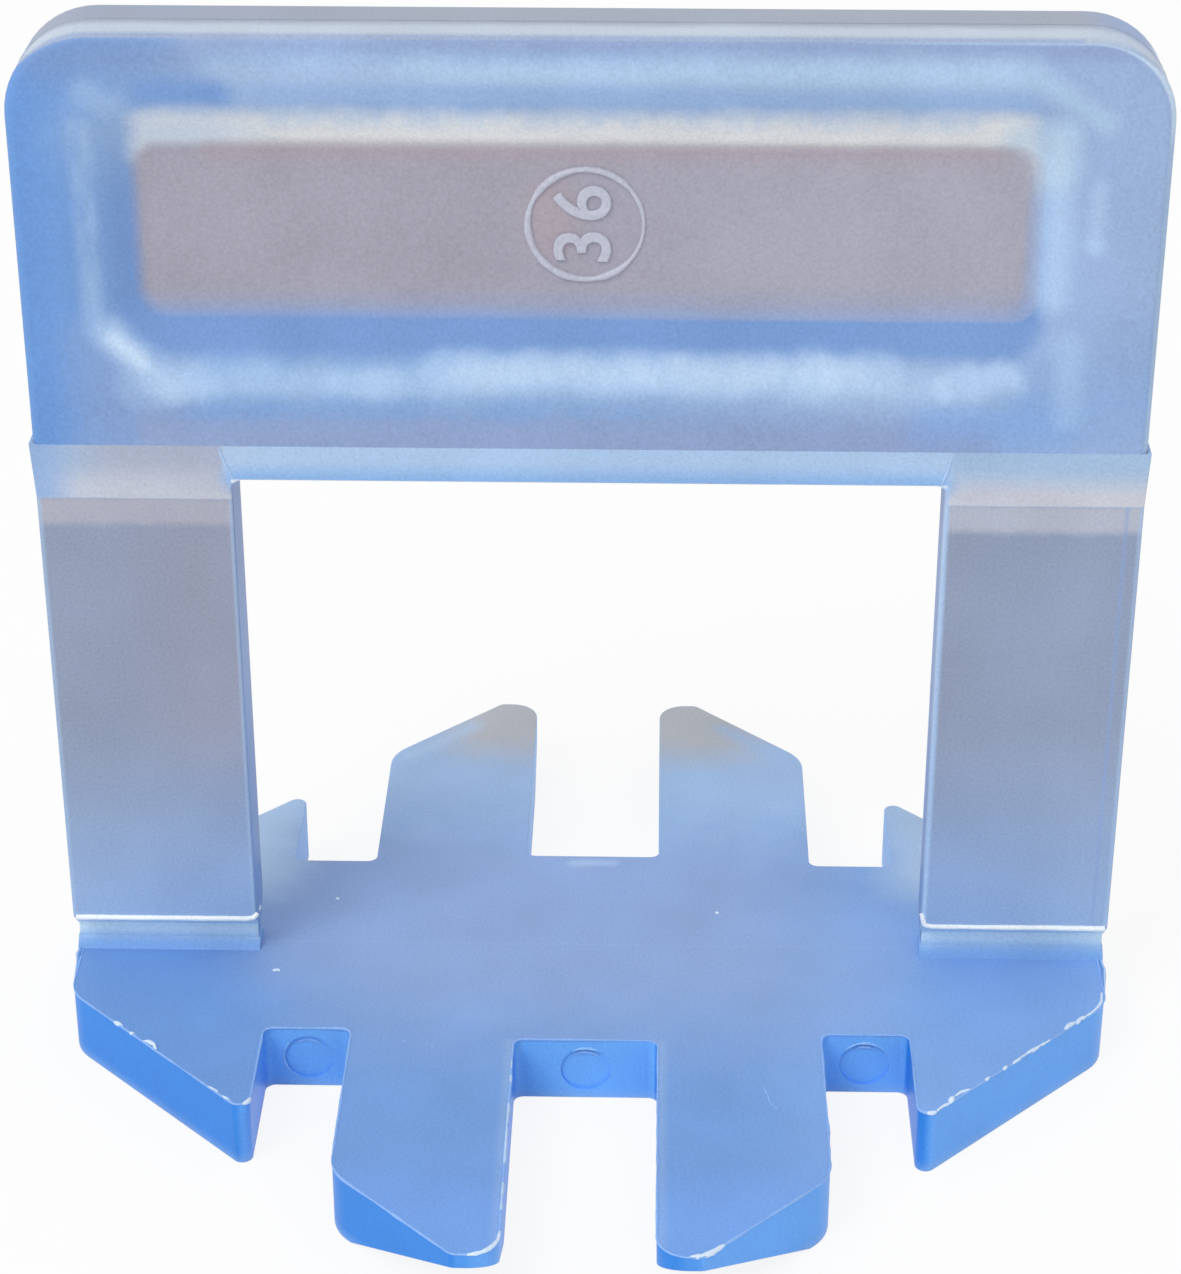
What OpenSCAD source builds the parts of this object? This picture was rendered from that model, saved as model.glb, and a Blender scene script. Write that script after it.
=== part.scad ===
// Tile levelling clip: one moulded piece with a base that lies under the tiles, two thin legs that
// stand in the joint, and a head over a window that takes the wedge. The legs snap off at the neck.
// Origin at the middle of the underside, +Z up, the plate of legs and head across X.

/* [Plate] */
// Width of the head
plate_w = 36; // [32:0.1:44]
// How far each leg stands out beside the head
leg_step = 0.1; // [0.05:0.05:0.3]
// Thickness of the legs, which sets the joint between the tiles
leg_t = 2; // [1.5:0.1:3]
// Height of the legs from the top of the base to the head
leg_h = 20; // [14:0.1:30]
// Width of the wedge window between the legs
window_w = 23.3; // [16:0.1:28]
// Distance from the head's lower edge down to the top of the window
window_drop = 1.4; // [0.2:0.1:2]
// Radius of the window's upper corners
window_r = 0.4; // [0.2:0.1:2]

/* [Head] */
// Height of the head
head_h = 13.7; // [11.5:0.1:20]
// Thickness of the head
head_t = 3.1; // [3:0.1:5]
// Radius of the head's upper corners
head_r = 2.7; // [1:0.1:5]
// Height of the slope that runs from the head in to the legs
slope_h = 2.15; // [1:0.05:4]

/* [Pocket] */
// Width of the rim beside the pocket, left and right
rim_side = 1.8; // [1.2:0.1:4]
// Width of the rim above the pocket
rim_top = 1.7; // [1.2:0.1:4]
// Width of the rim below the pocket
rim_bottom = 2.2; // [1.2:0.1:4]
// Width of the pocket's sloping wall
pocket_wall = 2.2; // [0.5:0.1:3]
// Depth of the pocket in each face of the head
pocket_depth = 0.9; // [0.3:0.05:1.2]
// Radius of the corners of the pocket's floor
floor_r = 0.6; // [0.3:0.1:1.5]

/* [Break neck] */
// Thickness of the neck where the legs break off
neck_t = 0.65; // [0.6:0.05:1.4]
// Height of the neck between the base and the bevel under the leg
neck_h = 0.9; // [0.9:0.05:2.5]
// How far the neck stands in from each edge of its leg
neck_inset = 0.05; // [0.05:0.05:0.6]
// Size of the flare at the foot of the neck
foot_flare = 0.35; // [0.2:0.05:0.7]

/* [Base] */
// Width of the base along the joint
base_w = 35.8; // [34.5:0.1:44]
// Depth of the base, finger tip to finger tip
base_d = 34.8; // [31:0.1:44]
// Thickness of the base
base_t = 2.4; // [2:0.1:4]
// Size of the square cut across each corner of the base
corner_cut = 14; // [11:0.1:14.8]
// Width of the centre notch
centre_notch_w = 4.9; // [3:0.1:6]
// Distance from the middle plane to the wall of the centre notch
centre_wall = 5.9; // [3.5:0.1:9]
// Width of a finger
finger_w = 5.55; // [4:0.05:7]
// Width of a side notch
side_notch_w = 3; // [1.5:0.1:5]
// Distance from the middle plane to the wall of a side notch
side_wall = 5.4; // [3.5:0.1:8]
// Thickness of a finger at its tip
tip_t = 0.55; // [0.3:0.05:1.5]
// Length of the ramp under a finger's tip
tip_ramp = 3.5; // [1:0.1:6]
// Radius of the notches' corners and of the points of the wings
corner_r = 0.35; // [0.2:0.05:0.5]
// Radius of the blunt corners at the sides of the wings and fingers
shoulder_r = 1.7; // [0.5:0.1:3]
// Radius of the finger tips beside the centre notch
tip_r = 1; // [0.3:0.1:1.2]

/* [Ejector marks] */
// Diameter of the round marks on the front notch walls
mark_d = 1.7; // [1:0.1:1.9]
// Depth of the round marks
mark_depth = 0.1; // [0.05:0.05:0.3]

/* [Hidden] */
$fn = 64;
// Extra length by which a cut passes a face
overcut = 1;
// How deep the legs run into the base
root = base_t / 2;
// Width across both legs
legs_w = plate_w + 2 * leg_step;
// Heights of the plate's steps
neck_top = base_t + neck_h;
head_z = base_t + leg_h;
top_z = head_z + head_h;
window_top = head_z - window_drop;
// Places across the base, from the middle to the side
finger_in = centre_notch_w / 2;
finger_out = finger_in + finger_w;
wing_in = finger_out + side_notch_w;
// The corner cut is the line x + y = cut_sum
cut_sum = base_w / 2 + base_d / 2 - corner_cut;
// Outer end of a finger's blunt tip, and the largest part of the tip that its round may take
tip_out = cut_sum - base_d / 2;
tip_share = 0.7;
tip_round = min(tip_r, tip_share * (tip_out - finger_in));

// Unit vector from a to b
function toward(a, b) = (b - a) / norm(b - a);
// Positive where a counter-clockwise outline turns left at b
function turn(a, b, c) = cross(b - a, c - b);
// Item i of a list, counted round its end
function item(list, i) = list[(i + len(list)) % len(list)];
// Corner [x, y, radius] with its place mirrored by the signs sx and sy
function mirrored(corner, sx, sy) = [sx * corner.x, sy * corner.y, corner.z];

// Region between corner b of an outline a, b, c and the arc that rounds it
module corner_piece(a, b, c, r) {
    u = toward(b, a);
    v = toward(b, c);
    half = acos(u * v) / 2;
    centre = b + toward([0, 0], u + v) * r / sin(half);
    run = r / tan(half);
    difference() {
        polygon([b + (b - centre), b + u * run, centre, b + v * run]);
        translate(centre) circle(r = r);
    }
}

// Counter-clockwise outline of corners [x, y, radius], all rounded by true arcs
module rounded_outline(corners) {
    points = [for (corner = corners) [corner.x, corner.y]];
    last = len(points) - 1;
    difference() {
        union() {
            polygon(points);
            for (i = [0 : last])
                if (turn(item(points, i - 1), points[i], item(points, i + 1)) < 0)
                    corner_piece(item(points, i - 1), points[i], item(points, i + 1), corners[i].z);
        }
        for (i = [0 : last])
            if (turn(item(points, i - 1), points[i], item(points, i + 1)) > 0)
                corner_piece(item(points, i - 1), points[i], item(points, i + 1), corners[i].z);
    }
}

// Turns an outline drawn as (x, z) into a solid of depth d centred on the middle plane
module across_joint(d) {
    translate([0, d / 2, 0]) rotate([90, 0, 0]) linear_extrude(d) children();
}

// Turns a section drawn as (y, z) into a solid of width w centred on x = 0
module along_joint(w) {
    translate([-w / 2, 0, 0]) rotate([90, 0, 90]) linear_extrude(w) children();
}

// Base outline in plan: a plate with cut corners, notched into fingers and wings
module base_outline() {
    quarter = [
        [base_w / 2, cut_sum - base_w / 2, shoulder_r],
        [wing_in, cut_sum - wing_in, corner_r],
        [wing_in, side_wall, corner_r],
        [finger_out, side_wall, corner_r],
        [finger_out, cut_sum - finger_out, shoulder_r],
        [tip_out, base_d / 2, corner_r],
        [finger_in, base_d / 2, tip_round],
        [finger_in, centre_wall, corner_r]
    ];
    last = len(quarter) - 1;
    rounded_outline([
        each quarter,
        for (i = [last : -1 : 0]) mirrored(quarter[i], -1, 1),
        for (corner = quarter) mirrored(corner, -1, -1),
        for (i = [last : -1 : 0]) mirrored(quarter[i], 1, -1)
    ]);
}

// Wedge of room under the finger tips, on the far side of the joint
module tip_ramp_cut() {
    start = base_d / 2 - tip_ramp;
    rise = (base_t - tip_t) / tip_ramp;
    end = tip_ramp + overcut;
    along_joint(2 * finger_out + overcut)
        polygon([[start, 0], [start, -overcut], [start + end, -overcut], [start + end, rise * end]]);
}

// Round ejector marks on the three notch walls of the front
module ejector_marks() {
    side_x = (finger_out + wing_in) / 2;
    for (place = [[-side_x, side_wall], [0, centre_wall], [side_x, side_wall]])
        translate([place.x, -place.y - overcut, base_t / 2])
            rotate([-90, 0, 0]) cylinder(d = mark_d, h = overcut + mark_depth);
}

module base() {
    difference() {
        linear_extrude(base_t) base_outline();
        tip_ramp_cut();
        mirror([0, 1, 0]) tip_ramp_cut();
        ejector_marks();
    }
}

// Front view of the plate: legs, window and head with rounded upper corners
module plate_outline() {
    difference() {
        union() {
            translate([-plate_w / 2, base_t - root]) square([plate_w, top_z - base_t + root]);
            translate([-legs_w / 2, base_t - root]) square([legs_w, leg_h + root]);
        }
        for (side = [-1, 1])
            corner_piece([side * plate_w / 2, base_t], [side * plate_w / 2, top_z], [0, top_z], head_r);
        difference() {
            translate([-window_w / 2, base_t - root - overcut])
                square([window_w, window_top - base_t + root + overcut]);
            for (side = [-1, 1])
                corner_piece([side * window_w / 2, base_t], [side * window_w / 2, window_top],
                             [0, window_top], window_r);
        }
    }
}

// Section through the plate: flared neck, leg, slope and head
module plate_section() {
    half = [
        [neck_t / 2 + foot_flare, base_t - root],
        [neck_t / 2 + foot_flare, base_t],
        [neck_t / 2, base_t + foot_flare],
        [neck_t / 2, neck_top],
        [leg_t / 2, neck_top + (leg_t - neck_t) / 2],
        [leg_t / 2, head_z - slope_h],
        [head_t / 2, head_z],
        [head_t / 2, top_z]
    ];
    polygon([each half, for (i = [len(half) - 1 : -1 : 0]) [-half[i].x, half[i].y]]);
}

// Notches at the edges of both legs, beside the neck
module neck_notches() {
    for (side = [-1, 1], edge = [legs_w / 2, window_w / 2])
        translate([side * edge - neck_inset, -leg_t, base_t + foot_flare])
            cube([2 * neck_inset, 2 * leg_t, neck_h - foot_flare]);
}

// Room of one pocket: a rectangle with round corners that narrows from the face to the floor
module pocket() {
    mouth_r = floor_r + pocket_wall;
    slope = pocket_wall / pocket_depth;
    outer_r = mouth_r + slope * overcut;
    depth = pocket_depth + overcut;
    x = plate_w / 2 - rim_side - mouth_r;
    z_low = head_z + rim_bottom + mouth_r;
    z_high = top_z - rim_top - mouth_r;
    translate([0, -head_t / 2 - overcut, 0]) {
        for (px = [-x, x], pz = [z_low, z_high])
            translate([px, 0, pz]) rotate([-90, 0, 0]) cylinder(r1 = outer_r, r2 = floor_r, h = depth);
        translate([-x, 0, 0]) rotate([90, 0, 90]) linear_extrude(2 * x)
            polygon([[0, z_low - outer_r], [depth, z_low - floor_r],
                     [depth, z_high + floor_r], [0, z_high + outer_r]]);
        translate([0, 0, z_low]) linear_extrude(z_high - z_low)
            polygon([[-x - outer_r, 0], [x + outer_r, 0], [x + floor_r, depth], [-x - floor_r, depth]]);
    }
}

module plate() {
    difference() {
        intersection() {
            across_joint(head_t + overcut) plate_outline();
            along_joint(legs_w + overcut) plate_section();
        }
        neck_notches();
        pocket();
        mirror([0, 1, 0]) pocket();
    }
}

module levelling_clip() {
    color("#6f9bdd") union() {
        base();
        plate();
    }
}

levelling_clip();
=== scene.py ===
# %% [markdown]
# # A tile levelling clip
# The clip is one injection moulding in milky blue plastic: a notched base that lies under the tiles, two thin
# legs that stand in the joint, and a pocketed head above the window that takes the wedge. The solid comes
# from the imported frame. This lesson rounds its edges, gives it its clouded plastic, adds the burrs and marks
# that the mould leaves, and sets up a plain studio picture.

# %% Load the frame
import math

import bmesh
import bpy
from mathutils import Matrix, Vector


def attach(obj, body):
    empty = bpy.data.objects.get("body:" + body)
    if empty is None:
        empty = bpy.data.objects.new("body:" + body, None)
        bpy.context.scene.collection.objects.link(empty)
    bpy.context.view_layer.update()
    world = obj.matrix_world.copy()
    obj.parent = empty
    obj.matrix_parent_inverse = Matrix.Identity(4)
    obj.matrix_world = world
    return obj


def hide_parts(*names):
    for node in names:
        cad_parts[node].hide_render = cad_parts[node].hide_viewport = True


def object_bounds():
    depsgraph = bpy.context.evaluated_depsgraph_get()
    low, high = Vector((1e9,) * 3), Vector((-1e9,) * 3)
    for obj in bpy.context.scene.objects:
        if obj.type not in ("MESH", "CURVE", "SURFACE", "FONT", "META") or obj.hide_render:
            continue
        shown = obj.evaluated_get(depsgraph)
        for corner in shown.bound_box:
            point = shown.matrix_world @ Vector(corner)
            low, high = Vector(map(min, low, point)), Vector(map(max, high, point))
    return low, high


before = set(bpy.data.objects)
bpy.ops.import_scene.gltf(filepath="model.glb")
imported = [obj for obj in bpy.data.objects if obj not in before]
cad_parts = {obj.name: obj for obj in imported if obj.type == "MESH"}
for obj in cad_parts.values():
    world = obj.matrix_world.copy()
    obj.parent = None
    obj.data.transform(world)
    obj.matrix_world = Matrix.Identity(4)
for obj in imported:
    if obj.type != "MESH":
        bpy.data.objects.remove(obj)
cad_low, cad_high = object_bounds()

MM = 0.001
CLIP = "levelling_clip"
BODY = "root"
scene = bpy.context.scene
print("frame loaded:", [round(side / MM, 2) for side in cad_high - cad_low], "mm")


def placed(name, data):
    """New object in the scene."""
    thing = bpy.data.objects.new(name, data)
    scene.collection.objects.link(thing)
    return thing


# %% [markdown]
# ## Sizes
# Every finish below is placed by the clip's own measures, in millimetres. The overall sizes are read from the
# frame, so they can't drift from the solid. The steps between them are the moulding's design sizes.

# %% Sizes of the clip
HALF_W = cad_high.x / MM
HALF_D = cad_high.y / MM
TOP = cad_high.z / MM
BASE_T = 2.4
BASE_HALF = 17.9
LEG_LOW = 3.975
LEG_STEP = 0.1
HEAD_HALF = HALF_W - LEG_STEP
LEG_FACE = 1.0
WINDOW_HALF = 11.65
WINDOW_TOP = 21.0
HEAD_LOW = 22.4
SLOPE_H = 2.15
SLOPE_LOW = HEAD_LOW - SLOPE_H
HEAD_FACE = 1.55
HEAD_R = 2.7
RIM_SIDE = 1.8
RIM_TOP = 1.7
RIM_BOTTOM = 2.2
WALL = 2.2
MOUTH_HALF = HEAD_HALF - RIM_SIDE
MOUTH_LOW = HEAD_LOW + RIM_BOTTOM
MOUTH_HIGH = TOP - RIM_TOP
FLOOR_HALF = MOUTH_HALF - WALL
FLOOR_LOW = MOUTH_LOW + WALL
FLOOR_HIGH = MOUTH_HIGH - WALL
POCKET_DEPTH = 0.9
FLOOR_FACE = HEAD_FACE - POCKET_DEPTH
CORNER_CUT = 14.0
CUT_SUM = BASE_HALF + HALF_D - CORNER_CUT
FINGER_IN = 2.45
FINGER_OUT = 8.0
WING_IN = 11.0
CENTRE_WALL = 5.9
SIDE_WALL = 5.4
SHOULDER_R = 1.7
TIP_R = 1.0
CORNER_R = 0.35
DIMPLE_R = 0.85
DIMPLE_X = (FINGER_OUT + WING_IN) / 2
DIMPLES = [(-DIMPLE_X, -SIDE_WALL), (0.0, -CENTRE_WALL), (DIMPLE_X, -SIDE_WALL)]
print("pocket floor:", round(2 * FLOOR_HALF, 2), "by", round(FLOOR_HIGH - FLOOR_LOW, 2), "mm")

# %% [markdown]
# ## Camera
# A camera can be placed by eye, but here it was worked out from the clip's own corners in the picture: it
# stands about 110 mm away and looks down by 28 degrees, almost square on. At that distance the near clipping
# plane has to come close, or it would cut the clip open.

# %% Camera
EYE = Vector((2.115, -97.194, 66.419)) * MM
AIM = Vector((0.038, 0.0, 14.735)) * MM
LENS = 92.25
SENSOR = 36.0
NEAREST = 0.01
FARTHEST = 10.0

camera_data = bpy.data.cameras.new("studio_camera")
camera_data.lens = LENS
camera_data.sensor_width = SENSOR
camera_data.clip_start = NEAREST
camera_data.clip_end = FARTHEST
camera = placed("studio_camera", camera_data)
camera.location = EYE
camera.rotation_euler = (AIM - EYE).to_track_quat("-Z", "Y").to_euler()
scene.camera = camera
print("camera distance:", round((AIM - EYE).length / MM, 1), "mm")

# %% [markdown]
# ## The softened moulding
# A real moulding has no knife edges. The pocket's mouth rolls over softly, the head's rim is rounded, and the
# base keeps a crisp top edge. One bevel width for all would blur the base or leave the pocket hard, so each
# edge of a merged copy gets its own bevel weight, and one Bevel modifier reads them all.

# %% How round each edge is
MOUTH_ROLL = 0.6
FLOOR_ROLL = 0.2
HEAD_ROLL = 0.32
BACK_ROLL = 0.16
LEG_ROLL = 0.1
STEP_ROLL = 0.04
NECK_ROLL = 0.015
BASE_ROLL = 0.05
CREASE_DEG = 10.0
SLOPE_DEG = 18.0
NEAR = 0.03
MARK_REACH = 0.2
DOWNWARD = -0.5


def inside_mouth(x, z):
    """Whether a place on the head lies in the mouth of its pocket."""
    return abs(x) < MOUTH_HALF + NEAR and MOUTH_LOW - NEAR < z < MOUTH_HIGH + NEAR


def on_dimple(place):
    """Whether a place lies on one of the ejector marks in the front notches."""
    for x, y in DIMPLES:
        flat = math.hypot(place.x - x, place.z - BASE_T / 2)
        if flat < DIMPLE_R + NEAR and abs(place.y - y) < MARK_REACH:
            return True
    return False


def edge_roll(edge):
    """Width of the rounding on this edge, in millimetres; 0 leaves it as it is."""
    middle = (edge.verts[0].co + edge.verts[1].co) / (2 * MM)
    angle = math.degrees(edge.calc_face_angle(0.0))
    beside_head = abs(middle.z - HEAD_LOW) < NEAR and abs(middle.x) > HEAD_HALF - NEAR
    if angle < CREASE_DEG or beside_head:
        return 0.0
    if middle.z > HEAD_LOW - NEAR:
        if inside_mouth(middle.x, middle.z):
            return MOUTH_ROLL if edge.is_convex else FLOOR_ROLL
        if angle < SLOPE_DEG:
            return 0.0
        return HEAD_ROLL if middle.y < 0 else BACK_ROLL
    underside = all(face.normal.z < DOWNWARD for face in edge.link_faces)
    if underside or not edge.is_convex or on_dimple(middle):
        return 0.0
    if middle.z > LEG_LOW + NEAR:
        if angle < SLOPE_DEG:
            return 0.0
        return STEP_ROLL if abs(middle.x) > HEAD_HALF else LEG_ROLL
    if middle.z > BASE_T + NEAR:
        return NECK_ROLL
    return BASE_ROLL


# %% Merge, weigh and bevel the copy
BEVEL_STEPS = 3
ACROSS = Vector((1.0, 0.0, 0.0))
ALONG = Vector((0.0, 1.0, 0.0))
UPWARD = Vector((0.0, 0.0, 1.0))
HEAD_BANDS = (28.2, 30.8)
HEAD_CUTS = (-6.0, 6.0)
FLAT_DEG = 0.4
WELD = 0.002
ON_PLANE = 1e-7
BELOW = -1.0
BASE_SPLITS = [(ACROSS, -8.5), (ACROSS, -1.5), (ACROSS, 1.5), (ACROSS, 8.5), (ALONG, -5.0), (ALONG, 5.0)]


def split(bm, normal, place, low, high):
    """Cuts the faces that lie between two heights along a plane."""
    faces = []
    for face in bm.faces:
        heights = [vert.co.z / MM for vert in face.verts]
        if low < min(heights) and max(heights) < high:
            faces.append(face)
    edges = {e for f in faces for e in f.edges}
    corners = {v for f in faces for v in f.verts}
    geometry = [*faces, *edges, *corners]
    bmesh.ops.bisect_plane(bm, geom=geometry, plane_co=normal * place * MM, plane_no=normal, dist=ON_PLANE)


def split_wide_faces(bm):
    """Cuts the base into strips that don't wind round the notches, and the plate into bands."""
    for normal, place in BASE_SPLITS:
        split(bm, normal, place, BELOW, BASE_T + NEAR)
    for place in (HEAD_LOW, *HEAD_BANDS):
        split(bm, UPWARD, place, BELOW, TOP + NEAR)
    for place in HEAD_CUTS:
        split(bm, ACROSS, place, HEAD_LOW - NEAR, TOP + NEAR)


def drop_stray_edges(bm):
    """Removes the slanting edges that the loose triangles left across the head's flat faces."""
    stray = []
    for edge in bm.edges:
        run = edge.verts[1].co - edge.verts[0].co
        slanting = min(abs(run.x), abs(run.z)) > NEAR * MM
        flat = edge.calc_face_angle(math.pi) < math.radians(FLAT_DEG)
        if slanting and flat and min(v.co.z for v in edge.verts) > (HEAD_LOW - NEAR) * MM:
            stray.append(edge)
    bmesh.ops.dissolve_edges(bm, edges=stray, use_verts=False)
    print("stray edges dropped:", len(stray))


def merged_copy(node, name):
    """Joined copy of a loose-triangle CAD mesh, with its flat faces dissolved and its edges weighed."""
    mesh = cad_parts[node].data.copy()
    mesh.name = name
    bm = bmesh.new()
    bm.from_mesh(mesh)
    bmesh.ops.remove_doubles(bm, verts=bm.verts, dist=WELD * MM)
    bmesh.ops.dissolve_limit(bm, angle_limit=math.radians(FLAT_DEG), verts=bm.verts, edges=bm.edges)
    split_wide_faces(bm)
    drop_stray_edges(bm)
    weight = bm.edges.layers.float.new("bevel_weight_edge")
    for edge in bm.edges:
        roll = edge_roll(edge)
        edge[weight] = roll / MOUTH_ROLL
        edge.smooth = roll > 0 or edge.calc_face_angle(0.0) < math.radians(CREASE_DEG)
    for face in bm.faces:
        face.smooth = True
    bm.to_mesh(mesh)
    bm.free()
    return placed(name, mesh)


def evaluated_mesh(source):
    """Plain mesh of what an object looks like with its modifiers."""
    bpy.context.view_layer.update()
    graph = bpy.context.evaluated_depsgraph_get()
    shown = source.evaluated_get(graph)
    return bpy.data.meshes.new_from_object(shown, preserve_all_data_layers=True, depsgraph=graph)


moulding = merged_copy(CLIP, "clip_moulding")
bevel = moulding.modifiers.new("edge_rolls", "BEVEL")
bevel.limit_method = "WEIGHT"
bevel.width = MOUTH_ROLL * MM
bevel.segments = BEVEL_STEPS
bevel.use_clamp_overlap = False
bevel.miter_outer = "MITER_ARC"
weighted = moulding.modifiers.new("flat_faces_stay_flat", "WEIGHTED_NORMAL")
weighted.keep_sharp = True
rounded_mesh = evaluated_mesh(moulding)
moulding.modifiers.clear()
moulding.data = rounded_mesh
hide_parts(CLIP)
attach(moulding, BODY)
print("clip_moulding:", len(moulding.data.polygons), "faces")

# %% [markdown]
# ## Painting zones
# Milky plastic shows what is behind it where it is thin, and its own blue where it is thick. Tracing light
# through the solid would be slow and noisy, and would change with every floor. So the plastic's clouds are
# painted, and with them much of the light and shade it takes: painted highlights, painted lit faces and
# painted light that lifts the shade. Each zone is a box in the clip's own space with soft, wavering sides. One
# shader group does every zone, with the layer below going in and the layer above coming out.

# %% Small helpers for shader nodes
NOISE_MEAN = 0.5


def set_inputs(tree, node, values):
    """Links what is a socket and sets what is a plain value."""
    for label, value in values.items():
        if isinstance(value, bpy.types.NodeSocket):
            tree.links.new(value, node.inputs[label])
        else:
            node.inputs[label].default_value = value
    return node


def math_node(tree, operation, a, b=0.0, c=0.0):
    """Result of one step of arithmetic."""
    node = tree.nodes.new("ShaderNodeMath")
    node.operation = operation
    return set_inputs(tree, node, {0: a, 1: b, 2: c}).outputs[0]


def vector_node(tree, operation, values):
    """Result of one step of vector arithmetic."""
    node = tree.nodes.new("ShaderNodeVectorMath")
    node.operation = operation
    return set_inputs(tree, node, values).outputs["Value" if operation == "LENGTH" else "Vector"]


def ramp_node(tree, value, low, high, top=1.0):
    """Soft step from 0 at low to top at high."""
    node = tree.nodes.new("ShaderNodeMapRange")
    node.interpolation_type = "SMOOTHSTEP"
    values = {"Value": value, "From Min": low, "From Max": high, "To Max": top}
    return set_inputs(tree, node, values).outputs["Result"]


def noise_node(tree, vector, scale, detail):
    """Smooth noise that swings about its mean."""
    node = tree.nodes.new("ShaderNodeTexNoise")
    return set_inputs(tree, node, {"Vector": vector, "Scale": scale, "Detail": detail}).outputs["Fac"]


def new_group(name, inputs, outputs):
    """Empty shader group with the given sockets; returns it with its two ends."""
    group = bpy.data.node_groups.new(name, "ShaderNodeTree")
    for label, kind in inputs:
        group.interface.new_socket(label, in_out="INPUT", socket_type="NodeSocket" + kind)
    for label, kind in outputs:
        group.interface.new_socket(label, in_out="OUTPUT", socket_type="NodeSocket" + kind)
    return group, group.nodes.new("NodeGroupInput").outputs, group.nodes.new("NodeGroupOutput").inputs


# %% Shader group for one painted zone
def make_zone_group():
    """Paints one soft box over the colour below it."""
    inputs = [
        ("Below", "Color"), ("Colour", "Color"), ("Place", "Vector"), ("Centre", "Vector"),
        ("Core", "Vector"), ("Full", "Float"), ("Reach", "Float"), ("Swing", "Float"), ("Wobble", "Float"),
        ("Strength", "Float"), ("Face", "Float"),
    ]
    group, come, go = new_group("painted_zone", inputs, [("Colour", "Color")])
    away = vector_node(group, "SUBTRACT", {0: come["Place"], 1: come["Centre"]})
    away = vector_node(group, "SUBTRACT", {0: vector_node(group, "ABSOLUTE", {0: away}), 1: come["Core"]})
    distance = vector_node(group, "LENGTH", {0: vector_node(group, "MAXIMUM", {0: away, 1: (0, 0, 0)})})
    distance = math_node(group, "MULTIPLY_ADD", come["Swing"], come["Wobble"], distance)
    mask = ramp_node(group, distance, come["Reach"], come["Full"], come["Strength"])
    mask = math_node(group, "MULTIPLY", mask, come["Face"])
    mix = group.nodes.new("ShaderNodeMix")
    mix.data_type = "RGBA"
    set_inputs(group, mix, {0: mask, 6: come["Below"], 7: come["Colour"]})
    group.links.new(mix.outputs[2], go["Colour"])
    return group


ZONE = make_zone_group()
print("zone group:", len(ZONE.nodes), "nodes")

# %% [markdown]
# ## Moulded grain
# The mould's spark-eroded steel leaves a very fine grain, and the plastic itself is never quite even. A bump
# of fine noise breaks up the highlights, a slow cloud varies the roughness, and a faint tone keeps every
# colour from being flat. The burrs and the raised mark share the grain, so it is a group too.

# %% Shader group for the moulded grain
GRAIN_HEIGHT = 0.05
CLOUDS_PER_MM = 0.35


def make_grain_group():
    """Colour, normal and roughness of moulded plastic from Object coordinates."""
    inputs = [
        ("Colour", "Color"), ("Grain Size", "Float"), ("Grain Depth", "Float"),
        ("Roughness", "Float"), ("Unevenness", "Float"), ("Tone", "Float"),
    ]
    outputs = [("Colour", "Color"), ("Normal", "Vector"), ("Roughness", "Float")]
    group, come, go = new_group("moulded_grain", inputs, outputs)
    place = group.nodes.new("ShaderNodeTexCoord").outputs["Object"]
    fineness = math_node(group, "DIVIDE", 1.0 / MM, come["Grain Size"])
    fine = noise_node(group, place, fineness, detail=0.0)
    bump = group.nodes.new("ShaderNodeBump")
    set_inputs(group, bump, {"Distance": GRAIN_HEIGHT * MM, "Strength": come["Grain Depth"], "Height": fine})
    group.links.new(bump.outputs["Normal"], go["Normal"])
    clouds = noise_node(group, place, CLOUDS_PER_MM / MM, detail=1.0)
    slow = math_node(group, "SUBTRACT", clouds, NOISE_MEAN)
    rough = math_node(group, "MULTIPLY_ADD", slow, come["Unevenness"], come["Roughness"])
    group.links.new(rough, go["Roughness"])
    swing = math_node(group, "ADD", slow, math_node(group, "SUBTRACT", fine, NOISE_MEAN))
    tone = math_node(group, "MULTIPLY_ADD", swing, come["Tone"], 1.0)
    group.links.new(vector_node(group, "SCALE", {0: come["Colour"], "Scale": tone}), go["Colour"])
    return group


GRAIN = make_grain_group()
print("grain group:", len(GRAIN.nodes), "nodes")

# %% [markdown]
# ## Colours
# The palette goes from the clear blues of thick plastic, through the greys of thin plastic that shows the
# floor behind it, to the pale blues and whites of painted light and painted highlights, and the whites of
# frosted and of stretched plastic. The colours are written as screen colours and turned into linear light
# here.


# %% Palette
def screen(red, green, blue):
    """Linear RGBA from a screen colour of 0 to 255."""
    parts = [value / 255 for value in (red, green, blue)]
    linear = [p / 12.92 if p <= 0.04045 else ((p + 0.055) / 1.055) ** 2.4 for p in parts]
    return (*linear, 1.0)


HEAD_BLUE = screen(126, 161, 212)
DEEP_BLUE = screen(104, 150, 213)
INK_BLUE = screen(94, 140, 210)
WALL_BLUE = screen(116, 151, 206)
BASE_BLUE = screen(114, 158, 220)
BASE_LIT = screen(130, 172, 232)
CLEAR_BLUE = screen(48, 135, 227)
NOTCH_BLUE = screen(118, 186, 253)
LIT_BLUE = screen(104, 172, 252)
DUSK_BLUE = screen(139, 167, 216)
RIM_LIGHT = screen(154, 178, 216)
SKY = screen(168, 195, 227)
# pale blue of frosted plastic, and of most painted highlights
FROST_AND_HIGHLIGHT = screen(184, 212, 244)
# white of whitened burrs, also used for painted highlights on the head
SNOW = screen(216, 234, 252)
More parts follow.
